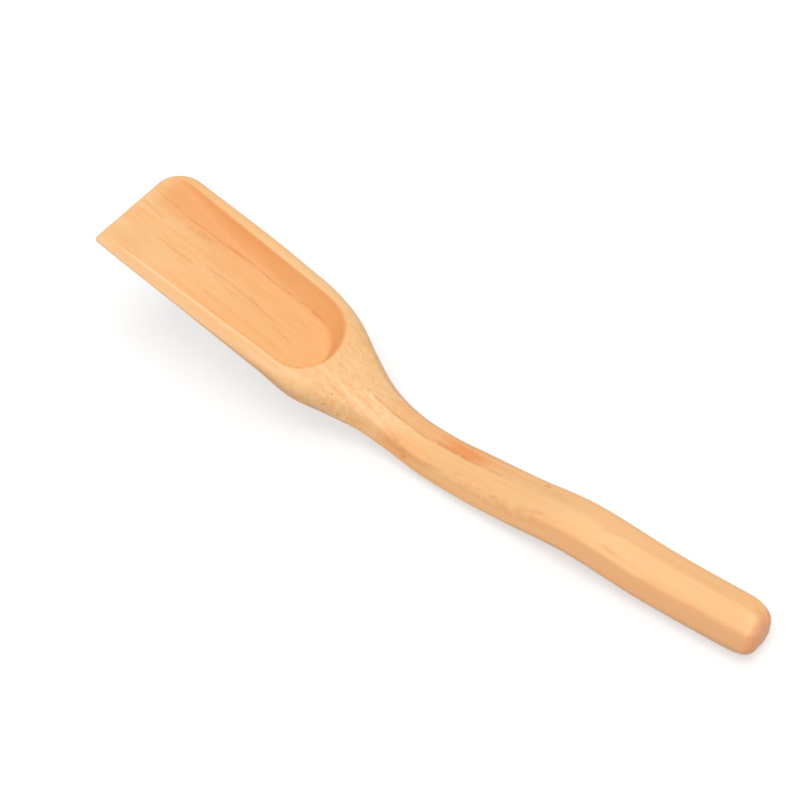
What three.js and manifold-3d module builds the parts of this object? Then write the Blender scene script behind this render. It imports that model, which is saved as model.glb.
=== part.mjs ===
import * as THREE from 'three';
import { mergeVertices } from 'three/addons/utils/BufferGeometryUtils.js';
import Module from 'manifold-3d';

// A tea scoop carved from one piece of wood: a blade with a shallow bowl that is open
// at the front, a shoulder that narrows to a waist, and a handle with eight soft flats
// that climbs away behind it. It is drawn with the bowl's rim level at z = 0, x running
// from the front edge to the handle's end and y across. Then it is laid down as it
// rests, on the heel under its shoulder and on the handle's end. All lengths are
// millimetres.

// Overall
const length = 176.4;
const neckPlace = 80.4;

// Blade
const bladeWidth = 27.2;
const frontThickness = 1.4;
const floorThickness = 1.7;
const nearCornerRadius = 1;
const farCornerRadius = 6.8;

// Bowl
const bowlLength = 60.3;
const bowlFrontWidth = 22.5;
const bowlBackWidth = 19.6;
const bowlDepth = 5.3;
const wallRun = 2.4;
const floorHollowShare = 0.08;
const creasePower = 5;

// Neck
const neckWidth = 11.6;
const neckThickness = 8.3;
const neckDrop = 5.6;

// Handle
const handleWidth = 13;
const handleThickness = 11.9;
const facetCount = 8;
const facetPower = 18;
const endRise = 26.4;
const endRounding = 7.4;
const endPower = 2.8;
const slantLength = 20;
const endLeanShare = 0.17;
const endSkewShare = 0.08;

// Resting on a table
const flatDepth = 0.3;

// Cutting and meshing
const overrun = 1.5;
const stationStep = 3.2;
const cornerSteps = 7;
const endSteps = 8;
const upperSteps = 20;
const lowerSteps = 16;
const bowlArcSteps = 22;
const tiltSteps = 40;

// Sections of the blade: place from the front edge to the neck, width between the
// neck's and the blade's, top as a share of the neck's drop, and how far the underside
// has left the bowl's floor for the heel.
const bladePlaceShares = [0, 0.25, 0.5, 0.62, 0.72, 0.81, 0.9, 1];
const bladeWidthShares = [0.99, 1, 0.97, 0.92, 0.77, 0.42, 0.12, 0];
const bladeDropShares = [-0.05, -0.01, -0.05, -0.05, 0.12, 0.4, 0.71, 1];
const bladeFloorShares = [0, 0.6, 1, 1, 1, 1, 1, 1];
const bladeHeelShares = [0, 0, 0.03, 0.24, 0.64, 0.92, 1.04, 1];

// Sections of the handle, from the neck to the handle's end: place, width and
// thickness between the neck's and the handle's, and top between neck and end.
const handlePlaceShares = [0.1, 0.21, 0.34, 0.5, 0.73, 1];
const handleWidthShares = [0.35, 0.93, 1.12, 1.1, 0.88, 0.06];
const handleThicknessShares = [-0.08, 0.1, 0.5, 0.98, 1.07, 0.98];
const handleRiseShares = [0.03, 0.14, 0.31, 0.56, 0.74, 1];

// Every section, front edge to end: the part of its thickness above its widest line,
// the powers of the rounded upper and lower halves, where 2 is an ellipse, and how far
// the rounding gives way to soft flats that meet in an edge on top.
const crownShares = [0.48, 0.14, 0.23, 0.28, 0.42, 0.44, 0.5, 0.52, 0.54, 0.5, 0.47, 0.46, 0.51, 0.48];
const upperPowers = [3, 2.6, 3.4, 3.6, 3.4, 3.2, 2.6, 2.1, 2, 2, 2, 2, 2.2, 2.5];
const lowerPowers = [2, 1.9, 1.8, 1.9, 2.1, 2.2, 2.3, 2.2, 2, 2, 2, 2, 2.3, 2.7];
const facetShares = [0, 0, 0, 0, 0, 0.3, 0.8, 1, 1, 1, 1, 1, 0.5, 0.5];

// Insets of the bowl's grid, from the rim to its middle line, closest at the crease.
const insetShares = [0, 0.06, 0.12, 0.17, 0.2, 0.23, 0.26, 0.3, 0.36, 0.46, 0.62, 0.8, 1];

const mix = (from, to, share) => from + (to - from) * share;

// A smooth curve through values at rising places, with slopes that follow both sides.
function smoothCurve(places, values) {
  const steps = places.slice(1).map((place, i) => place - places[i]);
  const rates = steps.map((step, i) => (values[i + 1] - values[i]) / step);
  const slopes = places.map((place, i) => {
    if (i === 0 || i === places.length - 1) return 0;
    return (steps[i] * rates[i - 1] + steps[i - 1] * rates[i]) / (steps[i] + steps[i - 1]);
  });
  slopes[0] = (3 * rates[0] - slopes[1]) / 2;
  slopes[places.length - 1] = (3 * rates.at(-1) - slopes.at(-2)) / 2;
  return (place) => {
    const held = THREE.MathUtils.clamp(place, places[0], places.at(-1));
    const i = Math.min(places.findLastIndex((known) => known <= held), steps.length - 1);
    const t = (held - places[i]) / steps[i];
    const bend = t * t * (3 - 2 * t);
    const leave = t * (1 - t) ** 2 * steps[i] * slopes[i];
    const arrive = t * t * (1 - t) * steps[i] * slopes[i + 1];
    return mix(values[i], values[i + 1], bend) + leave - arrive;
  };
}

// The bowl deepens from nothing at the front edge to its full depth at the back.
function bowlDepthAt(x) {
  const share = THREE.MathUtils.clamp(x / bowlLength, 0, 1);
  return bowlDepth * (1 - (1 - share) ** 2);
}

const bladePlaces = bladePlaceShares.map((share) => neckPlace * share);
const handlePlaces = handlePlaceShares.map((share) => mix(neckPlace, length, share));
const places = [...bladePlaces, ...handlePlaces];

const widthAt = smoothCurve(places, [
  ...bladeWidthShares.map((share) => mix(neckWidth, bladeWidth, share)),
  ...handleWidthShares.map((share) => mix(neckWidth, handleWidth, share)),
]);

const bladeTops = bladeDropShares.map((share) => -neckDrop * share);
const handleTops = handleRiseShares.map((share) => mix(-neckDrop, endRise, share));
const topAt = smoothCurve(places, [...bladeTops, ...handleTops]);

const heelBottom = -neckDrop - neckThickness;
const bladeBottoms = bladePlaces.map((place, i) => {
  const floor = mix(frontThickness, floorThickness, bladeFloorShares[i]);
  return mix(-bowlDepthAt(place) - floor, heelBottom, bladeHeelShares[i]);
});
const handleBottoms = handleTops.map((top, i) => (
  top - mix(neckThickness, handleThickness, handleThicknessShares[i])
));
const bottomAt = smoothCurve(places, [...bladeBottoms, ...handleBottoms]);

const crownAt = smoothCurve(places, crownShares);
const upperPowerAt = smoothCurve(places, upperPowers);
const lowerPowerAt = smoothCurve(places, lowerPowers);
const facetShareAt = smoothCurve(places, facetShares);

// How far out a polygon with soft corners reaches in a direction from its middle, as a
// share of its reach at a corner. It has corners at its sides, top and bottom.
function facetReach(direction) {
  const reachAt = (angle) => {
    let sum = 0;
    for (let i = 0; i < facetCount; i += 1) {
      const facing = (2 * Math.PI * (i + 0.5)) / facetCount;
      sum += Math.max(Math.cos(angle - facing), 0) ** facetPower;
    }
    return sum ** (-1 / facetPower);
  };
  return reachAt(direction) / reachAt(0);
}

// How far a front corner, as long as its radius and this deep, draws in a side's edge.
function cornerInset(x, radius, depth) {
  const back = THREE.MathUtils.clamp((radius - x) / radius, 0, 1);
  return depth * (1 - Math.sqrt(1 - back ** 2));
}

function halfWidthAt(x, cornerRadius) {
  return widthAt(x) / 2 - cornerInset(x, cornerRadius, cornerRadius);
}

// One closed section: the upper half from the far side to the near side, then the
// lower half back again. The handle's end shrinks it about its widest line, and leans
// it back from its foot and a little from its near side.
function section(x) {
  const end = THREE.MathUtils.clamp((x - length + endRounding) / endRounding, 0, 1);
  const shrink = (1 - end ** endPower) ** (1 / endPower);
  const crown = (topAt(x) - bottomAt(x)) * crownAt(x);
  const belly = topAt(x) - bottomAt(x) - crown;
  const level = topAt(x) - crown;
  const slant = THREE.MathUtils.smoothstep(x, length - slantLength, length);
  const points = [];
  const addPoint = (angle, height, power) => {
    const side = Math.cos(angle);
    const radius = halfWidthAt(x, side > 0 ? farCornerRadius : nearCornerRadius);
    const out = Math.sign(side) * Math.abs(side) ** (2 / power);
    const up = Math.abs(Math.sin(angle)) ** (2 / power);
    const faceted = facetReach(Math.atan2(up, out)) / Math.hypot(out, up);
    const reach = mix(1, faceted, facetShareAt(x)) * shrink;
    const across = out * radius * reach;
    const rise = up * height * reach;
    const setBack = slant * (endSkewShare * across + endLeanShare * rise);
    points.push(new THREE.Vector3(x - setBack, across, level + rise));
  };
  for (let i = 0; i < upperSteps; i += 1) {
    addPoint((Math.PI * i) / upperSteps, crown, upperPowerAt(x));
  }
  for (let i = 0; i < lowerSteps; i += 1) {
    addPoint(Math.PI + (Math.PI * i) / lowerSteps, -belly, lowerPowerAt(x));
  }
  return points;
}

// Places from the front edge up to one further back, closest together round the
// front corners.
function placesFromFront(end) {
  const stops = [0];
  for (const radius of [nearCornerRadius, farCornerRadius]) {
    for (let i = 1; i <= cornerSteps; i += 1) {
      stops.push(radius * (1 - Math.cos((Math.PI * i) / (2 * cornerSteps))));
    }
  }
  const start = Math.max(nearCornerRadius, farCornerRadius);
  const count = Math.ceil((end - start) / stationStep);
  for (let i = 1; i <= count; i += 1) stops.push(mix(start, end, i / count));
  return stops.sort((a, b) => a - b);
}

function stationPlaces() {
  const stations = placesFromFront(length - endRounding);
  for (let i = 1; i < endSteps; i += 1) {
    const share = Math.sin((Math.PI * i) / (2 * endSteps));
    stations.push(length - endRounding * (1 - share));
  }
  return stations;
}

// A closed skin over rings of points with as many points each, between two end points.
function skin(rings, startPoint, endPoint) {
  const count = rings[0].length;
  const points = [...rings.flat(), startPoint, endPoint];
  const start = points.length - 2;
  const faces = [];
  for (let j = 0; j < count; j += 1) {
    const next = (j + 1) % count;
    faces.push([start, next, j]);
    for (let i = 0; i < rings.length - 1; i += 1) {
      const [a, b] = [i * count + j, i * count + next];
      faces.push([a, b, b + count], [a, b + count, a + count]);
    }
    const last = (rings.length - 1) * count;
    faces.push([last + j, last + next, start + 1]);
  }
  const geometry = new THREE.BufferGeometry().setFromPoints(points);
  geometry.setIndex(faces.flat());
  return geometry;
}

function blankGeometry() {
  const rings = stationPlaces().map(section);
  const middle = (x) => new THREE.Vector3(x, 0, mix(topAt(x), bottomAt(x), crownAt(x)));
  return skin(rings, middle(0), middle(length));
}

// How far the bowl's surface lies below the rim, at an inset from it. The wall meets
// the floor in a soft crease, and past the rim it runs on upwards.
function hollowAt(x, inset, share) {
  const wall = (inset * bowlDepth) / wallRun;
  if (wall <= 0) return wall;
  const floor = bowlDepthAt(x) * (1 - floorHollowShare * (1 - share) ** 2);
  return (wall ** -creasePower + floor ** -creasePower) ** (-1 / creasePower);
}

// The tool that hollows the bowl: half round at the back, with sides that spread a
// little to the open front and there follow the corners, and flat on top.
function bowlGeometry() {
  const backRadius = bowlBackWidth / 2;
  const arcPlace = bowlLength - backRadius;
  const rimWidth = (bladeWidth - bowlFrontWidth) / 2;
  const lid = bladeWidth / 2;
  const sideStop = (x, cornerRadius, angle) => {
    const depth = Math.max(cornerRadius - rimWidth, 0);
    const side = mix(bowlFrontWidth / 2, backRadius, x / arcPlace);
    return { x, reach: side - cornerInset(x, cornerRadius, depth), angle };
  };
  const sidePlaces = [-overrun, ...placesFromFront(arcPlace)];
  const path = sidePlaces.map((x) => sideStop(x, farCornerRadius, Math.PI / 2));
  for (let i = 1; i < bowlArcSteps; i += 1) {
    const angle = (Math.PI / 2) * (1 - (2 * i) / bowlArcSteps);
    path.push({ x: arcPlace, reach: backRadius, angle });
  }
  sidePlaces.reverse();
  path.push(...sidePlaces.map((x) => sideStop(x, nearCornerRadius, -Math.PI / 2)));

  const outerShare = -overrun / 2 / backRadius;
  const insets = [outerShare, ...insetShares];
  const low = path.map((stop) => insets.map((share) => {
    const out = stop.reach * (1 - share);
    const x = stop.x + out * Math.cos(stop.angle);
    const z = -hollowAt(x, share * stop.reach, share);
    return new THREE.Vector3(x, out * Math.sin(stop.angle), z);
  }));
  const high = low.map((row) => row.map((point) => new THREE.Vector3(point.x, point.y, lid)));

  const positions = [];
  const addQuad = (a, b, c, d) => {
    for (const [p, q, r] of [[a, b, c], [a, c, d]]) {
      const distinct = !p.equals(q) && !q.equals(r) && !r.equals(p);
      if (distinct) positions.push(...p.toArray(), ...q.toArray(), ...r.toArray());
    }
  };
  const lastStop = path.length - 1;
  for (let i = 0; i < lastStop; i += 1) {
    for (let j = 0; j < insets.length - 1; j += 1) {
      addQuad(low[i][j], low[i + 1][j], low[i + 1][j + 1], low[i][j + 1]);
      addQuad(high[i][j], high[i][j + 1], high[i + 1][j + 1], high[i + 1][j]);
    }
    addQuad(low[i][0], high[i][0], high[i + 1][0], low[i + 1][0]);
  }
  for (let j = 0; j < insets.length - 1; j += 1) {
    addQuad(low[0][j], low[0][j + 1], high[0][j + 1], high[0][j]);
    addQuad(low[lastStop][j + 1], low[lastStop][j], high[lastStop][j], high[lastStop][j + 1]);
  }
  const geometry = new THREE.BufferGeometry();
  geometry.setAttribute('position', new THREE.Float32BufferAttribute(positions, 3));
  return geometry;
}

const wasm = await Module();
wasm.setup();

function toSolid(geometry) {
  const bare = geometry.clone();
  bare.deleteAttribute('normal');
  bare.deleteAttribute('uv');
  const merged = mergeVertices(bare);
  return new wasm.Manifold(new wasm.Mesh({
    numProp: 3,
    vertProperties: new Float32Array(merged.attributes.position.array),
    triVerts: new Uint32Array(merged.index.array),
  }));
}

function toGeometry(solid) {
  const mesh = solid.getMesh();
  const geometry = new THREE.BufferGeometry();
  geometry.setAttribute('position', new THREE.BufferAttribute(mesh.vertProperties, 3));
  geometry.setIndex(new THREE.BufferAttribute(mesh.triVerts, 1));
  return geometry;
}

// The lowest height on one side of a dividing place once the scoop is tipped back.
function lowestHeight(geometry, tilt, isOnSide) {
  const turn = new THREE.Matrix4().makeRotationY(tilt);
  const point = new THREE.Vector3();
  let lowest = Infinity;
  for (let i = 0; i < geometry.attributes.position.count; i += 1) {
    point.fromBufferAttribute(geometry.attributes.position, i);
    if (isOnSide(point.x)) lowest = Math.min(lowest, point.applyMatrix4(turn).z);
  }
  return lowest;
}

// The tilt at which the heel and the handle's end touch the table together.
function restTilt(geometry) {
  const divide = (neckPlace + length) / 2;
  let [low, high] = [0, Math.PI / 4];
  for (let i = 0; i < tiltSteps; i += 1) {
    const tilt = (low + high) / 2;
    const heel = lowestHeight(geometry, tilt, (x) => x < divide);
    const end = lowestHeight(geometry, tilt, (x) => x >= divide);
    if (end > heel) low = tilt;
    else high = tilt;
  }
  return (low + high) / 2;
}

// Lays the drawn scoop on the table, sunk into it by the depth of its worn flats, with
// the origin under the middle of its box.
function restPlacement(blank) {
  const turn = new THREE.Matrix4().makeRotationY(restTilt(blank));
  const box = blank.clone().applyMatrix4(turn);
  box.computeBoundingBox();
  const middle = box.boundingBox.getCenter(new THREE.Vector3());
  const drop = -box.boundingBox.min.z - flatDepth;
  return new THREE.Matrix4().makeTranslation(-middle.x, -middle.y, drop).multiply(turn);
}

function scoopGeometry() {
  const blank = blankGeometry();
  const bowl = bowlGeometry();
  const placement = restPlacement(blank);
  blank.applyMatrix4(placement);
  bowl.applyMatrix4(placement);

  const table = new THREE.BoxGeometry(length + overrun, bladeWidth + overrun, bladeWidth);
  table.translate(0, 0, -bladeWidth / 2);
  const solid = toSolid(blank).subtract(toSolid(bowl)).subtract(toSolid(table));
  return toGeometry(solid);
}

const wood = new THREE.MeshStandardMaterial({
  name: 'wood',
  color: 0xd9a066,
  roughness: 0.55,
  metalness: 0,
});

const scoop = new THREE.Group();
const scoopBody = new THREE.Mesh(scoopGeometry(), wood);
scoopBody.name = 'scoop_body';
scoop.add(scoopBody);

export default scoop;
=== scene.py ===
"""A tea scoop carved from one piece of wood, lying on a pale floor.

Its fine surface is made in the frame it is drawn in, in millimetres: x runs from the front
edge to the handle's end, y across to the far side, and z up from the bowl's level rim. It is
then laid down, in metres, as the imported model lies, on its heel and its handle's end.
"""

import math

import bpy
import numpy as np
from mathutils import Matrix, Vector


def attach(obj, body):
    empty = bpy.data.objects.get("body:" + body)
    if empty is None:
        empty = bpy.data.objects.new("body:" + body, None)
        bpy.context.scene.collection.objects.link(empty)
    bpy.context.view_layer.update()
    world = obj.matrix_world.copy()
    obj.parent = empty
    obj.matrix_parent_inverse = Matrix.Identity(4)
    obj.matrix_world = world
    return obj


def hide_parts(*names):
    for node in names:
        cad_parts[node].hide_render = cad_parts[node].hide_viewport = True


MM = 0.001

# What keeps a division or a power off zero
SMALLEST = 1e-6

# Overall
LENGTH = 176.4
NECK_PLACE = 80.4

# Blade
BLADE_WIDTH = 27.2
FRONT_THICKNESS = 1.4
FLOOR_THICKNESS = 1.7
NEAR_CORNER = 1.0
FAR_CORNER = 6.8
FRONT_NOSE = 0.7
FRONT_NOSE_SHARE = 0.3

# Bowl
BOWL_LENGTH = 60.3
BOWL_FRONT_WIDTH = 22.5
BOWL_BACK_WIDTH = 19.6
BOWL_DEPTH = 5.3
LEAST_WALL_DEPTH = 0.1
NEAR_WALL_RUN = 0.9
FAR_WALL_RUN = 4.3
NEAR_SHIFT = -0.3
FAR_SHIFT = 0.7
FLOOR_HOLLOW_SHARE = 0.08

# The crease at the wall's foot is crisp, but on the far side it softens towards the front
CREASE_POWER = 12
SOFT_CREASE_POWER = 3.5
SOFT_CREASE_PLACE = 28
CRISP_CREASE_PLACE = 48

# How far the rim's edge is rounded, its share of that at the front edge, and the depth of
# the bowl that would add a whole share
RIM_ROUNDING = 0.4
RIM_FRONT_SHARE = 0.15
RIM_SHARE_DEPTH = 3

# At the near front corner the floor rises to the rim
CORNER_FILL_WIDTH = 5.0
CORNER_FILL_START = 3.0
CORNER_FILL_LENGTH = 12.0

# Neck
NECK_WIDTH = 11.6
NECK_THICKNESS = 8.3
NECK_DROP = 5.6

# Handle
HANDLE_WIDTH = 13.0
HANDLE_THICKNESS = 11.9
FACET_COUNT = 8
FACET_POWER = 36
END_RISE = 26.4
END_ROUNDING = 7.4
END_POWER = 2.8
CRISP_ROUNDING = 2.8
CRISP_POWER = 3.4
CRISP_SIDE = math.radians(150)
SLANT_LENGTH = 20.0
END_LEAN = 0.17
END_SKEW = 0.08

# How it is laid down, and the worn flats where it touches the table
LARGEST_TILT = math.pi / 4
TILT_HALVINGS = 40
FLAT_DEPTH = 0.3

# Sections of the blade, from the front edge to the neck, as shares
BLADE_PLACES = [0, 0.25, 0.5, 0.62, 0.72, 0.81, 0.9, 1]
BLADE_WIDTHS = [0.99, 1, 0.97, 0.92, 0.77, 0.42, 0.12, 0]
BLADE_DROPS = [-0.05, -0.01, -0.05, -0.05, 0.12, 0.4, 0.71, 1]
BLADE_FLOORS = [0, 0.6, 1, 1, 1, 1, 1, 1]
BLADE_HEELS = [0, 0, 0.03, 0.24, 0.64, 0.92, 1.04, 1]

# Sections of the handle, from the neck to its end, as shares
HANDLE_PLACES = [0.1, 0.21, 0.34, 0.5, 0.73, 1]
HANDLE_WIDTHS = [0.35, 0.93, 1.12, 1.1, 0.88, 0.06]
HANDLE_THICKNESSES = [-0.08, 0.1, 0.5, 0.98, 1.07, 0.98]
HANDLE_RISES = [0.03, 0.14, 0.31, 0.56, 0.74, 1]

# Every section: the share above its widest line, the powers of its rounded halves, and
# how far the rounding gives way to soft flats
CROWNS = [0.48, 0.14, 0.23, 0.28, 0.42, 0.44, 0.5, 0.52, 0.54, 0.5, 0.47, 0.46, 0.51, 0.48]
UPPER_POWERS = [3, 2.6, 3.4, 3.6, 3.4, 3.2, 2.6, 2.1, 2, 2, 2, 2, 2.2, 2.5]
LOWER_POWERS = [2, 1.9, 1.8, 1.9, 2.1, 2.2, 2.3, 2.2, 2, 2, 2, 2, 2.3, 2.7]
FACETS = [0, 0, 0, 0, 0, 0.3, 0.8, 1, 1, 1, 1, 1, 0.9, 0.75]

# Meshing: the steps over each ring's upper and lower half, how many times finer both are
# drawn first, and then the steps from ring to ring
UPPER_STEPS = 150
LOWER_STEPS = 50
FINE_STEPS = 10
ARC_POINTS = 20
BLADE_STEP = 0.6
BACK_WALL_STEP = 0.2
BACK_WALL_START = BOWL_LENGTH - 3
BACK_WALL_END = BOWL_LENGTH + 1
BODY_STEP = 0.7
LEAST_STEP = 0.03

# How much of the quarter turn that rounds the handle's end the rings go through, so that
# the last one still has a size
END_TURN_SHARE = 0.97

# Dark grain lines, and painted shade along the neck's ridge: where each starts and ends along and
# across, its width and strength
GRAIN_LINES = [
    (3.0, 5.4, 11.0, 5.6, 0.22, 0.55),
    (10.5, 5.5, 19.5, 6.0, 0.25, 0.8),
    (19.0, 5.9, 28.0, 6.7, 0.28, 1.0),
    (27.0, 6.7, 41.5, 6.8, 0.24, 0.8),
    (12.0, 3.4, 19.5, 4.8, 0.22, 0.55),
    (15.0, 4.9, 19.0, 4.7, 0.3, 0.4),
    (0.8, 1.4, 7.5, 1.3, 0.25, 0.5),
    (8.5, -3.3, 20.0, -2.2, 0.25, 0.4),
    (22.0, -0.6, 32.5, 0.0, 0.28, 0.55),
    (31.0, 0.0, 43.0, -0.3, 0.25, 0.6),
    (24.5, -1.4, 35.0, -2.0, 0.25, 0.3),
    (43.0, -1.6, 50.0, -2.1, 0.22, 0.3),
    (43.2, 3.2, 50.0, 3.5, 0.22, 0.25),
    (79.0, -3.4, 83.0, -3.9, 0.4, 0.6),
    (79.5, -5.0, 86.0, -4.6, 0.4, 0.6),
    (84.0, -4.9, 95.0, -4.3, 0.35, 0.4),
    # These three along the neck's ridge are painted shade of a groove beside the ridge
    (72.0, -0.1, 91.0, 0.4, 0.28, 0.85),
    (90.0, 0.5, 96.0, 0.5, 0.3, 1.0),
    (96.5, 0.5, 102.0, 0.5, 0.3, 0.9),
    (42.6, 6.8, 46.5, 7.1, 0.22, 0.5),
    (47.3, 6.9, 51.9, 6.5, 0.25, 0.8),
    (104.3, 0.7, 107.8, 0.7, 0.35, 0.5),
    (109.0, -4.3, 113.7, -4.1, 0.4, 0.35),
    (117.0, -4.0, 123.2, -3.3, 0.4, 0.45),
    (117.3, 2.1, 125.5, 1.7, 0.35, 0.3),
    (136.0, -0.1, 139.2, 0.3, 0.4, 0.3),
    (138.2, -3.3, 142.2, -3.4, 0.4, 0.35),
]

# How far a grain line sways, over which shares of its length it fades in at both ends and
# how much its strength varies
LINE_SWAY = 0.1
LINE_END_SHARES = (-0.04, 0.08)
LINE_UNEVENNESS = 0.2

# Single dark pores: where they open, along and across
PORES = [(118.3, 3.6), (85.5, -5.2)]
PORE_RADIUS = 0.35
PORE_STRETCH = 1.6

# The plain wood runs between these two colours
LIGHT_WOOD = (249, 202, 144)
TAN_WOOD = (247, 186, 122)

# Tints laid over the plain wood, in this order: the zone, the pattern in it, how much of
# the tint shows and its colour. Some are painted light and shade, not the wood's colour
TINTS = [
    ("handle", None, 0.6, (255, 197, 137)),
    # Painted light: the shaded near lower side of the shoulder made lighter
    ("low_shoulder_light", None, 0.35, (255, 200, 142)),
    # Painted shade and warm bounced light inside the bowl, more towards its deep back
    ("bowl", None, 0.5, (243, 171, 100)),
    # Painted shade on the bowl's far wall, on its back wall and under its far rim
    ("far", None, 0.68, (241, 163, 94)),
    ("bowl", "fibres", 0.3, (226, 150, 84)),
    (None, "streaks", 0.25, (243, 170, 106)),
    ("shoulder", "flecks", 0.42, (234, 158, 96)),
    ("shoulder", "pale", 0.4, (252, 212, 158)),
    ("pores", "spots", 0.75, (216, 126, 66)),
    ("near_neck", None, 0.4, (250, 166, 100)),
    # Painted shade on the outer edge of the near rim
    ("near_rim_shade", None, 0.6, (242, 186, 134)),
    # Partly the wood's orange figure, partly painted shade of a groove beside the neck's ridge
    ("patch", None, 0.75, (247, 152, 82)),
    # Painted highlight along the inner edge of the near rim
    ("crest_highlight", None, 0.75, (255, 216, 168)),
    # Painted shade: the handle's near lower side made darker and warmer
    ("low_side_shade", None, 0.24, (252, 158, 104)),
    ("side", "mottle", 0.34, (240, 156, 94)),
    # Painted light on the handle's near upper facet
    ("near_top_light", None, 0.14, (255, 212, 154)),
    # Grain lines and pores, with painted shade along the neck's ridge
    ("marks", None, 0.7, (212, 126, 62)),
    ("end", None, 0.45, (250, 160, 114)),
]

# How the sheen varies, how high the grain stands out, and how much a dark mark sinks in
ROUGHNESS = (0.46, 0.56)
RELIEF = 0.03
RELIEF_SHARE = 0.5
MARK_RELIEF = -0.4

# Floor: half its width in metres, its level in millimetres, its grey and its own glow
FLOOR_REACH = 4.0
FLOOR_LEVEL = -0.02
FLOOR_GREY = 0.5
FLOOR_GLOW = 0.55

# Light: an even sky, and a lamp with its place and size in metres
SKY_LEVEL = 0.52
LAMP_PLACE = (0.85, -0.45, 2.4)
LAMP_SIZE = 1.4
LAMP_LEVEL = 0.58

# Camera, seen from the drawn scoop
VIEW_AZIMUTH = math.radians(42.154)
VIEW_ELEVATION = math.radians(59.109)
VIEW_DISTANCE = 603.3
VIEW_AIM = np.array([78.847, 1.064, 0])
FOCAL_PIXELS = 2805.0
IMAGE_PIXELS = 800
CLIP_START = 0.01


def mix(start, end, share):
    return start + (end - start) * share


def ramp(value, low, high):
    """0 at low, 1 at high and smooth between."""
    t = np.clip((value - low) / (high - low), 0, 1)
    return t * t * (3 - 2 * t)


def fall(value, high, low):
    """1 up to high, 0 from low on and smooth between."""
    return ramp(-value, -low, -high)


def between(value, start, full, fade, end):
    """0 up to start, 1 from full to fade, 0 from end on and smooth between."""
    return ramp(value, start, full) * fall(value, fade, end)


def ridge(value, middle, width):
    """1 at the middle and softly less on both sides of it."""
    return np.exp(-(((value - middle) / width) ** 2))


def smooth_curve(places, values):
    """A curve through values at rising places, with slopes that follow both sides."""
    places, values = np.array(places, float), np.array(values, float)
    steps = np.diff(places)
    rates = np.diff(values) / steps
    slopes = np.empty_like(values)
    slopes[1:-1] = (steps[1:] * rates[:-1] + steps[:-1] * rates[1:]) / (steps[1:] + steps[:-1])
    slopes[0] = (3 * rates[0] - slopes[1]) / 2
    slopes[-1] = (3 * rates[-1] - slopes[-2]) / 2

    def curve(place):
        held = np.clip(place, places[0], places[-1])
        i = np.clip(np.searchsorted(places, held, side="right") - 1, 0, len(steps) - 1)
        t = (held - places[i]) / steps[i]
        bend = mix(values[i], values[i + 1], t * t * (3 - 2 * t))
        leave = t * (1 - t) ** 2 * steps[i] * slopes[i]
        arrive = t * t * (1 - t) * steps[i] * slopes[i + 1]
        return bend + leave - arrive

    return curve


def bowl_depth_at(x):
    """How deep the middle of the bowl's floor lies, from the front edge to its back."""
    share = np.clip(x / BOWL_LENGTH, 0, 1)
    return BOWL_DEPTH * (1 - (1 - share) ** 2)


def section_curves():
    """The outer form along x: half width, top, bottom and how each section is rounded."""
    blade = np.array(BLADE_PLACES) * NECK_PLACE
    handle = mix(NECK_PLACE, LENGTH, np.array(HANDLE_PLACES))
    places = np.concatenate([blade, handle])
    blade_widths = mix(NECK_WIDTH, BLADE_WIDTH, np.array(BLADE_WIDTHS))
    handle_widths = mix(NECK_WIDTH, HANDLE_WIDTH, np.array(HANDLE_WIDTHS))
    widths = np.concatenate([blade_widths, handle_widths])
    blade_tops = -NECK_DROP * np.array(BLADE_DROPS)
    handle_tops = mix(-NECK_DROP, END_RISE, np.array(HANDLE_RISES))
    floors = mix(FRONT_THICKNESS, FLOOR_THICKNESS, np.array(BLADE_FLOORS))
    heel = -NECK_DROP - NECK_THICKNESS
    blade_bottoms = mix(-bowl_depth_at(blade) - floors, heel, np.array(BLADE_HEELS))
    thicknesses = mix(NECK_THICKNESS, HANDLE_THICKNESS, np.array(HANDLE_THICKNESSES))
    return {
        "half_width": smooth_curve(places, widths / 2),
        "top": smooth_curve(places, np.concatenate([blade_tops, handle_tops])),
        "bottom": smooth_curve(places, np.concatenate([blade_bottoms, handle_tops - thicknesses])),
        "crown": smooth_curve(places, CROWNS),
        "upper_power": smooth_curve(places, UPPER_POWERS),
        "lower_power": smooth_curve(places, LOWER_POWERS),
        "facets": smooth_curve(places, FACETS),
    }


def corner_inset(x, radius, depth):
    """How far a front corner, as long as its radius and this deep, draws in a side."""
    back = np.clip((radius - x) / radius, 0, 1)
    return depth * (1 - np.sqrt(1 - back**2))


def facet_reach(direction):
    """A polygon with soft corners: its reach in a direction over that to a corner."""

    def reach(angle):
        facings = 2 * math.pi * (np.arange(FACET_COUNT) + 0.5) / FACET_COUNT
        near = np.maximum(np.cos(np.asarray(angle)[..., None] - facings), 0)
        return (near**FACET_POWER).sum(-1) ** (-1 / FACET_POWER)

    return reach(direction) / reach(0.0)


def half_section(angle, power, facets, far, near, height):
    """Points of a section's upper or lower half, from its widest line."""
    side, rise = np.cos(angle), np.abs(np.sin(angle))
    out = np.sign(side) * np.abs(side) ** (2 / power)
    up = rise ** (2 / power)
    faceted = facet_reach(np.arctan2(up, out)) / np.hypot(out, up)
    reach = mix(1, faceted, facets)
    return out * np.where(side > 0, far, near) * reach, up * height * reach


def evenly(y, z, steps):
    """The same open line with its points an equal way apart."""
    run = np.concatenate([[0], np.cumsum(np.hypot(np.diff(y), np.diff(z)))])
    stops = np.linspace(0, run[-1], steps + 1)
    return np.interp(stops, run, y), np.interp(stops, run, z)


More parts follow.
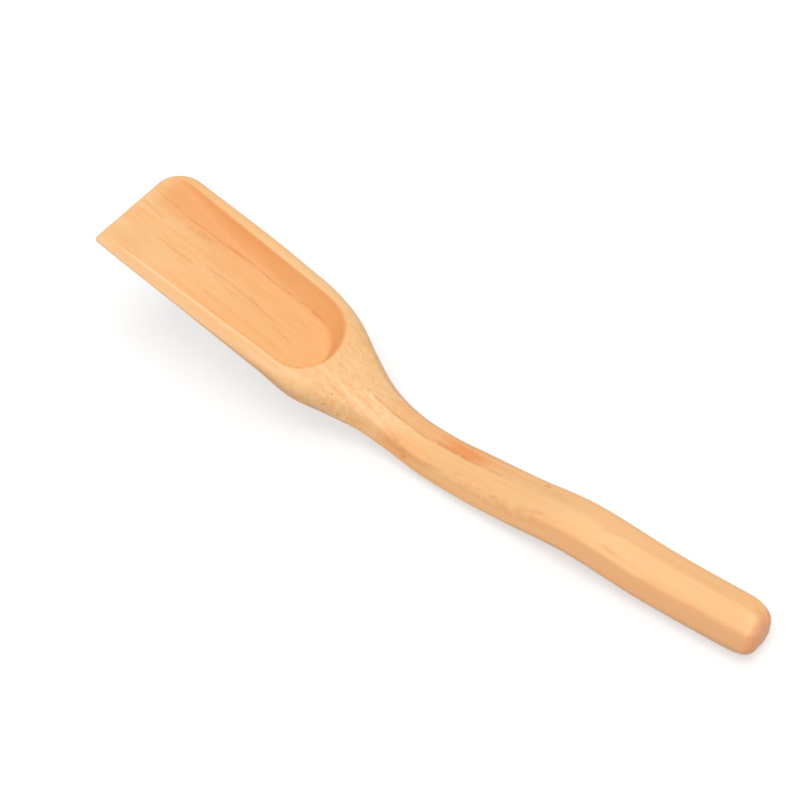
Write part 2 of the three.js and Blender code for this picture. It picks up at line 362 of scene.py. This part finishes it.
def bowl_place(x, y):
    """How far inside the bowl's rim a place is, the bowl's reach there and which side it is."""
    back_radius = BOWL_BACK_WIDTH / 2
    arc_place = BOWL_LENGTH - back_radius
    rim = (BLADE_WIDTH - BOWL_FRONT_WIDTH) / 2
    corner = np.where(y > 0, FAR_CORNER, NEAR_CORNER)
    side = mix(BOWL_FRONT_WIDTH / 2, back_radius, x / arc_place)
    side = side - corner_inset(x, corner, np.maximum(corner - rim, 0))
    along = np.maximum(x - arc_place, 0)
    out = np.hypot(along, y)
    across = y / np.maximum(out, SMALLEST)
    shift = np.where(across > 0, FAR_SHIFT, NEAR_SHIFT) * across**2
    reach = np.where(along > 0, back_radius, side) + shift
    return reach - out, reach, across


def wall_run(across):
    """How far the wall's foot lies from its rim, from the near side (-1) to the far one (1)."""
    return mix(NEAR_WALL_RUN, FAR_WALL_RUN, (1 + across) / 2)


def bowl_height(x, y):
    """The height of the bowl's surface, which past the rim runs on upwards."""
    inset, reach, across = bowl_place(x, y)
    soft = np.maximum(across, 0) ** 2 * fall(x, SOFT_CREASE_PLACE, CRISP_CREASE_PLACE)
    power = mix(CREASE_POWER, SOFT_CREASE_POWER, soft)
    depth = bowl_depth_at(x)
    wall_depth = np.sqrt(BOWL_DEPTH * np.maximum(depth, LEAST_WALL_DEPTH))
    wall = inset * wall_depth / wall_run(across)
    hollow = FLOOR_HOLLOW_SHARE * (1 - np.clip(inset / reach, 0, 1)) ** 2
    near_front = fall(x, CORNER_FILL_START, CORNER_FILL_LENGTH) * (y < 0)
    corner = fall(inset, 0, CORNER_FILL_WIDTH) * near_front
    floor = depth * (1 - hollow) * (1 - corner)
    ease = np.maximum(wall, SMALLEST) ** -power + np.maximum(floor, SMALLEST) ** -power
    return -np.where(wall > 0, ease ** (-1 / power), wall)


def soft_lower(a, b, softness):
    """The lower of two heights, rounded where they cross."""
    near = np.maximum(softness - np.abs(a - b), 0) / softness
    return np.minimum(a, b) - near**2 * softness / 4


def station_places():
    """Where along x the rings lie, closer together where the form bends more."""
    quarter = np.linspace(0, math.pi / 2, ARC_POINTS)
    front = FRONT_NOSE * (1 - np.cos(quarter))
    corner = FAR_CORNER * (1 - np.cos(quarter))
    blade = np.arange(FAR_CORNER, BOWL_LENGTH, BLADE_STEP)
    back = np.arange(BACK_WALL_START, BACK_WALL_END, BACK_WALL_STEP)
    body = np.arange(BACK_WALL_END, LENGTH - END_ROUNDING, BODY_STEP)
    end = LENGTH - END_ROUNDING * (1 - np.sin(quarter * END_TURN_SHARE))
    places = np.sort(np.concatenate([front, corner, blade, back, body, end]))
    return places[np.concatenate([[True], np.diff(places) > LEAST_STEP])]


def end_shrink(x, rounding, power):
    """How much of a section's size the rounding of the handle's end leaves."""
    end = max((x - LENGTH + rounding) / rounding, 0)
    return (1 - end**power) ** (1 / power)


def outer_outline(place, form, crown, drop):
    """A section's points, across and up from its widest line.

    The bowl isn't cut into it here and the handle's end isn't rounded yet. Its upper half
    rises by the crown and its lower half goes down by the drop.
    """
    half = form["half_width"](place)
    far = half - corner_inset(place, FAR_CORNER, FAR_CORNER)
    near = half - corner_inset(place, NEAR_CORNER, NEAR_CORNER)
    facets = form["facets"](place)
    fine = np.linspace(0, math.pi, UPPER_STEPS * FINE_STEPS + 1)
    above = half_section(fine, form["upper_power"](place), facets, far, near, crown)
    below = half_section(fine[::-1], form["lower_power"](place), facets, far, near, drop)
    upper_y, upper_rise = evenly(*above, UPPER_STEPS)
    lower_y, lower_rise = evenly(*below, LOWER_STEPS)
    y = np.concatenate([upper_y, lower_y[1:-1]])
    return y, np.concatenate([upper_rise, lower_rise[1:-1]])


def section_ring(place, form):
    """The upper half's points from the far side over, then those of the lower half back."""
    top, bottom = form["top"](place), form["bottom"](place)
    crown = (top - bottom) * form["crown"](place)
    level = top - crown
    y, rise = outer_outline(place, form, crown, bottom - level)

    crisp = np.maximum(np.cos(np.arctan2(rise, y) - CRISP_SIDE), 0)
    soft_end = end_shrink(place, END_ROUNDING, END_POWER)
    crisp_end = end_shrink(place, CRISP_ROUNDING, CRISP_POWER)
    shrink = mix(soft_end, crisp_end, crisp)
    y, rise = y * shrink, rise * shrink

    z = level + rise
    if place < BOWL_LENGTH + RIM_ROUNDING:
        over = slice(UPPER_STEPS + 1)
        share = min(1, RIM_FRONT_SHARE + bowl_depth_at(place) / RIM_SHARE_DEPTH)
        z[over] = soft_lower(z[over], bowl_height(place, y[over]), RIM_ROUNDING * share)

    nose = np.sqrt(1 - max((FRONT_NOSE - place) / FRONT_NOSE, 0) ** 2)
    middle = (min(z[UPPER_STEPS // 2], top) + bottom) / 2
    z = middle + (z - middle) * mix(FRONT_NOSE_SHARE, 1, nose)

    slant = ramp(place, LENGTH - SLANT_LENGTH, LENGTH)
    set_back = slant * (END_SKEW * y + END_LEAN * rise)
    return np.stack([place - set_back, y, z], axis=1)


def rest_placement(points):
    """The turn and shift that lay the drawn scoop down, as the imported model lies."""
    divide = (NECK_PLACE + LENGTH) / 2
    on_end = points[:, 0] > divide
    low, high = 0.0, LARGEST_TILT
    for _ in range(TILT_HALVINGS):
        tilt = (low + high) / 2
        heights = points[:, 2] * math.cos(tilt) - points[:, 0] * math.sin(tilt)
        if heights[on_end].min() > heights[~on_end].min():
            low = tilt
        else:
            high = tilt
    turn = np.array(Matrix.Rotation(tilt, 3, "Y"))
    laid = points @ turn.T
    middle = (laid[:, 0].min() + laid[:, 0].max()) / 2
    return turn, np.array([-middle, 0, -laid[:, 2].min() - FLAT_DEPTH])


def ring_faces(stops, around):
    """Faces between neighbouring rings, and one face to close each end."""
    faces = []
    for i in range(stops - 1):
        for j in range(around):
            a, b = i * around + j, i * around + (j + 1) % around
            faces.append((a, a + around, b + around, b))
    last = (stops - 1) * around
    faces.append(tuple(range(around)))
    faces.append(tuple(range(last + around - 1, last - 1, -1)))
    return faces


def line_marks(x, y, upper):
    """How dark each point of the upper half is from the grain lines, the painted shade along the
    neck's ridge and the pores, 0 to 1.
    """
    marks = np.zeros_like(x)
    for x0, y0, x1, y1, width, strength in GRAIN_LINES:
        share = (x - x0) / (x1 - x0)
        sway = LINE_SWAY * np.sin(x * 0.6 + x0) * (y1 != y0)
        away = y - mix(y0, y1, share) - sway
        ends = ramp(share, *LINE_END_SHARES) * ramp(1 - share, *LINE_END_SHARES)
        uneven = 1 - LINE_UNEVENNESS + LINE_UNEVENNESS * np.sin(x * 0.9 + y0 * 5)
        marks = np.maximum(marks, strength * uneven * ends * ridge(away, 0, width))
    for x0, y0 in PORES:
        away = np.hypot((x - x0) / PORE_STRETCH, y - y0)
        marks = np.maximum(marks, ridge(away, 0, PORE_RADIUS))
    return marks * upper


def colour_zones(x, y, place, angle, upper):
    """Where each zone of the wood's looks lies, 0 to 1 at every point of the drawn scoop; some
    zones are painted light and shade.

    Lengths are in millimetres and angles in degrees round a section: 0 on the near side, 90
    at the top and -90 underneath. The place is that of the point's section. A zone's border
    follows the uneven values where it would else be a straight line.
    """
    inset, _, across = bowl_place(x, y)
    near = y < 0
    uneven_x = x + 0.9 * np.sin(2.1 * y) + 0.9 * np.sin(5.3 * y + 1)
    uneven_angle = angle + 3 * np.sin(0.23 * x) + 2 * np.sin(0.61 * x)

    # The bowl's inside, then painted shade in its far half, on its back wall and in a line under
    # its far rim
    bowl = ramp(inset, -0.05, 0.2) * ramp(x, 0, 5) * upper
    far_half_shade = ramp(y, 0, 7.5) * mix(1.2, 0.45, ramp(x, 20, 46))
    above_foot = ramp(0.96 * wall_run(across) - inset, -0.15, 0.3)
    back_wall_shade = 0.6 * ramp(x, 38, 50) * above_foot * ramp(y, -8, 0)
    under_rim_shade = 0.4 * ridge(inset, 0.7, 0.5) * ramp(y, 0, 8)

    # Partly the wood's orange figure, partly painted shade of a groove beside the neck's ridge
    # The orange patch in the neck: its middle, the fainter orange round it and past it
    patch = 0.75 * between(uneven_x, 88, 95, 98, 105) * fall(y, 2.5, 5)
    patch = patch + 0.4 * between(uneven_x, 70, 86, 98, 114) + 0.12 * ramp(uneven_x, 96, 112)
    past_dark_edge = ramp(y - 0.55 * ramp(x, 72, 92), -0.1, 0.2)

    return {
        # The bowl's painted shade and warm bounced light grow towards its deep back; the same zone
        # also carries grain
        "bowl": bowl * mix(0.45, 1, ramp(x, 5, 45)),
        # Painted shade on the bowl's far wall, on its back wall and under its far rim
        "far": bowl * (np.maximum(far_half_shade, back_wall_shade) + under_rim_shade),
        # Painted shade on the outer edge of the near rim
        "near_rim_shade": between(x, 2, 8, 50, 62) * ramp(-y, 11, 12.3),
        # Painted highlight along the inner edge of the near rim
        "crest_highlight": between(x, 5, 12, 46, 56) * ridge(inset, -0.15, 0.6) * near * upper,
        "shoulder": between(x, 46, 66, 74, 90) * (1 - bowl),
        # Painted light: the shaded near lower side of the shoulder made lighter
        "low_shoulder_light": between(x, 52, 62, 78, 90) * fall(uneven_angle, 34, 56) * near,
        "pores": between(x, 60, 64, 69, 74) * between(y, -11, -9.5, -6.5, -5),
        "near_neck": between(x, 74, 82, 84, 96) * ramp(-y, 1.8, 3.6),
        "patch": patch * past_dark_edge * upper,
        "side": between(x, 86, 96, 118, 134) * between(uneven_angle, 15, 30, 54, 68),
        "handle": ramp(x, 98, 125),
        # Painted shade: the handle's near lower side made darker and warmer
        "low_side_shade": ramp(x, 100, 140) * fall(uneven_angle, 42, 50) * near,
        # Painted light on the handle's near upper facet
        "near_top_light": ramp(x, 105, 130) * between(uneven_angle, 44, 52, 84, 92),
        "end": ramp(place, LENGTH - 1.9, LENGTH - 0.7),
        "marks": line_marks(x, y, upper),
    }


def add_values(mesh, name, values):
    layer = mesh.attributes.new(name, "FLOAT", "POINT")
    layer.data.foreach_set("value", values.astype(np.float32))


def build_scoop():
    """The scoop with its zones, and the turn and shift that laid it down."""
    places, form = station_places(), section_curves()
    rings = np.array([section_ring(place, form) for place in places])
    stops, around = rings.shape[:2]
    points = rings.reshape(-1, 3)
    turn, shift = rest_placement(points)
    laid = points @ turn.T + shift
    laid[:, 2] = np.maximum(laid[:, 2], 0)

    mesh = bpy.data.meshes.new("scoop_wood")
    mesh.from_pydata((laid * MM).tolist(), [], ring_faces(stops, around))
    mesh.polygons.foreach_set("use_smooth", [True] * len(mesh.polygons))
    mesh.update()

    x, y, z = points.T
    place = np.repeat(places, around)
    upper = np.tile(np.arange(around) <= UPPER_STEPS, stops)
    top, bottom = form["top"](place), form["bottom"](place)
    level = mix(top, bottom, form["crown"](place))
    rise = (z - level) / np.where(z > level, top - level, level - bottom)
    angle = np.degrees(np.arctan2(rise, -y / form["half_width"](place)))
    grain = mesh.attributes.new("grain", "FLOAT_VECTOR", "POINT")
    along_grain = np.stack([x, y, z - level], axis=1)
    grain.data.foreach_set("vector", along_grain.astype(np.float32).ravel())
    for name, values in colour_zones(x, y, place, angle, upper).items():
        add_values(mesh, name, values)

    scoop = bpy.data.objects.new("scoop_wood", mesh)
    bpy.context.scene.collection.objects.link(scoop)
    return scoop, turn, shift


def srgb(red, green, blue):
    """A colour that is written in 0 to 255, as linear light."""
    shares = [value / 255 for value in (red, green, blue)]
    light = [s / 12.92 if s <= 0.04045 else ((s + 0.055) / 1.055) ** 2.4 for s in shares]
    return (*light, 1)


class Nodes:
    """Short calls for one material's nodes."""

    def __init__(self, name):
        self.material = bpy.data.materials.new(name)
        self.material.use_nodes = True
        self.tree = self.material.node_tree
        self.shader = self.tree.nodes["Principled BSDF"]

    def add(self, kind, values=None, **settings):
        node = self.tree.nodes.new(kind)
        for key, value in settings.items():
            setattr(node, key, value)
        for socket, value in (values or {}).items():
            self.put(node.inputs[socket], value)
        return node

    def put(self, socket, value):
        if isinstance(value, bpy.types.NodeSocket):
            self.tree.links.new(value, socket)
        else:
            socket.default_value = value

    def math(self, operation, first, second=0.0, third=0.0):
        values = {0: first, 1: second, 2: third}
        return self.add("ShaderNodeMath", values, operation=operation).outputs[0]

    def value(self, name):
        return self.add("ShaderNodeAttribute", attribute_name=name).outputs["Fac"]

    def stretch(self, place, along, across):
        values = {"Vector": place, "Scale": (along, across, across)}
        return self.add("ShaderNodeMapping", values).outputs["Vector"]

    def noise(self, place, along, across, detail=2.0, roughness=0.5):
        """Soft noise that varies so often in a millimetre along and across the grain."""
        stretched = self.stretch(place, along, across)
        values = {"Vector": stretched, "Scale": 1.0, "Detail": detail, "Roughness": roughness}
        return self.add("ShaderNodeTexNoise", values).outputs["Fac"]

    def scatter(self, place, along, across):
        """How far the nearest of many scattered points is."""
        values = {"Vector": self.stretch(place, along, across), "Scale": 1.0}
        return self.add("ShaderNodeTexVoronoi", values).outputs["Distance"]

    def levels(self, value, low, high, to_low=0.0, to_high=1.0):
        values = {"Value": value, 1: low, 2: high, 3: to_low, 4: to_high}
        return self.add("ShaderNodeMapRange", values, interpolation_type="SMOOTHSTEP").outputs[0]

    def blend(self, share, start, end):
        node = self.add("ShaderNodeMix", data_type="RGBA")
        self.put(node.inputs["Factor"], share)
        self.put(node.inputs["A"], start)
        self.put(node.inputs["B"], end)
        return node.outputs["Result"]


def wood_material():
    """Wood with its grain along x, tinted zone by zone, some tints painted light and shade."""
    nodes = Nodes("wood")
    grain = nodes.add("ShaderNodeAttribute", attribute_name="grain").outputs["Vector"]
    bands = nodes.noise(grain, along=0.01, across=0.2, detail=3.0)
    streaks = nodes.noise(grain, along=0.02, across=0.9, detail=3.0, roughness=0.55)
    fibres = nodes.noise(grain, along=0.1, across=5.0, detail=3.0, roughness=0.6)
    flecks = nodes.noise(grain, along=0.8, across=2.4, roughness=0.55)
    mottle = nodes.noise(grain, along=0.5, across=0.9)
    spots = nodes.levels(nodes.scatter(grain, along=0.65, across=1.1), 0.12, 0.34, 1.0, 0.0)

    shade = nodes.levels(bands, 0.35, 0.65, 0.15, 0.65)
    shade = nodes.math("ADD", shade, nodes.levels(streaks, 0.35, 0.65, -0.25, 0.3))
    shade = nodes.math("ADD", shade, nodes.levels(fibres, 0.3, 0.7, -0.1, 0.15))
    colour = nodes.blend(shade, srgb(*LIGHT_WOOD), srgb(*TAN_WOOD))

    patterns = {
        "streaks": nodes.levels(streaks, 0.57, 0.68),
        "fibres": nodes.levels(fibres, 0.5, 0.7),
        "flecks": nodes.levels(flecks, 0.52, 0.66),
        "mottle": nodes.levels(mottle, 0.38, 0.7),
        "pale": nodes.levels(mottle, 0.48, 0.62),
        "spots": nodes.math("MULTIPLY", spots, nodes.levels(mottle, 0.42, 0.54)),
    }
    for zone, pattern, share, towards in TINTS:
        amount = share
        if zone:
            amount = nodes.math("MULTIPLY", nodes.value(zone), amount)
        if pattern:
            amount = nodes.math("MULTIPLY", patterns[pattern], amount)
        colour = nodes.blend(amount, colour, srgb(*towards))
    nodes.put(nodes.shader.inputs["Base Color"], colour)

    roughness = nodes.levels(streaks, 0.3, 0.7, *ROUGHNESS)
    nodes.put(nodes.shader.inputs["Roughness"], roughness)
    height = nodes.math("MULTIPLY_ADD", nodes.value("marks"), MARK_RELIEF, fibres)
    values = {"Height": height, "Distance": RELIEF * MM, "Strength": RELIEF_SHARE}
    nodes.put(nodes.shader.inputs["Normal"], nodes.add("ShaderNodeBump", values).outputs["Normal"])
    return nodes.material


def floor_material():
    """White where the camera or a gloss sees it, darker in a shadow and clear from below."""
    nodes = Nodes("paper")
    path = nodes.add("ShaderNodeLightPath")
    seen = nodes.math("MAXIMUM", path.outputs["Is Camera Ray"], path.outputs["Is Glossy Ray"])
    glow = nodes.math("MULTIPLY", seen, FLOOR_GLOW)
    nodes.put(nodes.shader.inputs["Base Color"], (FLOOR_GREY, FLOOR_GREY, FLOOR_GREY, 1))
    nodes.put(nodes.shader.inputs["Roughness"], 1.0)
    nodes.put(nodes.shader.inputs["Specular IOR Level"], 0.0)
    nodes.put(nodes.shader.inputs["Emission Color"], (1, 1, 1, 1))
    nodes.put(nodes.shader.inputs["Emission Strength"], glow)
    below = nodes.add("ShaderNodeNewGeometry").outputs["Backfacing"]
    nodes.put(nodes.shader.inputs["Alpha"], nodes.math("SUBTRACT", 1.0, below))
    return nodes.material


def add_floor():
    """A wide square a hair under the table's level, so that it never meets the flats."""
    mesh = bpy.data.meshes.new("floor")
    signs = ((-1, -1), (1, -1), (1, 1), (-1, 1))
    corners = [(FLOOR_REACH * x, FLOOR_REACH * y, FLOOR_LEVEL * MM) for x, y in signs]
    mesh.from_pydata(corners, [], [(0, 1, 2, 3)])
    mesh.materials.append(floor_material())
    floor = bpy.data.objects.new("floor", mesh)
    bpy.context.scene.collection.objects.link(floor)


def add_sky(strength):
    world = bpy.data.worlds.new("studio")
    bpy.context.scene.world = world
    world.use_nodes = True
    sky = world.node_tree.nodes["Background"]
    sky.inputs["Color"].default_value = (1, 1, 1, 1)
    sky.inputs["Strength"].default_value = strength


def add_lamp(name, place, size, level):
    """A square lamp that lights a level surface under it to this level."""
    data = bpy.data.lights.new(name, "AREA")
    data.size = size
    data.energy = level * math.pi**2 * Vector(place).length ** 2
    lamp = bpy.data.objects.new(name, data)
    lamp.location = place
    lamp.rotation_euler = Vector(place).to_track_quat("Z", "Y").to_euler()
    bpy.context.scene.collection.objects.link(lamp)


def add_camera(turn, shift):
    """Looks at the laid scoop as the photo does."""
    a, e = VIEW_AZIMUTH, VIEW_ELEVATION
    right = np.array([math.cos(a), math.sin(a), 0])
    up = np.array([-math.sin(a) * math.sin(e), math.cos(a) * math.sin(e), math.cos(e)])
    back = np.array([math.sin(a) * math.cos(e), -math.cos(a) * math.cos(e), math.sin(e)])
    place = turn @ (VIEW_AIM + back * VIEW_DISTANCE) + shift
    axes = np.stack([turn @ right, turn @ up, turn @ back], axis=1)
    data = bpy.data.cameras.new("camera")
    data.lens = data.sensor_width * FOCAL_PIXELS / IMAGE_PIXELS
    data.clip_start = CLIP_START
    camera = bpy.data.objects.new("camera", data)
    camera.matrix_world = Matrix.Translation(Vector(place * MM)) @ Matrix(axes.tolist()).to_4x4()
    bpy.context.scene.collection.objects.link(camera)
    bpy.context.scene.camera = camera


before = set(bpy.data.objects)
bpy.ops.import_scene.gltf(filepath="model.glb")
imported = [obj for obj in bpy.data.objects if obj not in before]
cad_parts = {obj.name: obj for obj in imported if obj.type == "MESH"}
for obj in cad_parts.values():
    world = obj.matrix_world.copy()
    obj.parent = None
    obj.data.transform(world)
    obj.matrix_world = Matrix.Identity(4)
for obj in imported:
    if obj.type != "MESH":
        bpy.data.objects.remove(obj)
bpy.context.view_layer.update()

scoop, turn, shift = build_scoop()
scoop.data.materials.append(wood_material())
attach(scoop, "root")
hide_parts("scoop_body")

add_floor()
add_sky(SKY_LEVEL)
add_lamp("key", LAMP_PLACE, LAMP_SIZE, LAMP_LEVEL)
add_camera(turn, shift)
bpy.context.scene.view_settings.view_transform = "Standard"
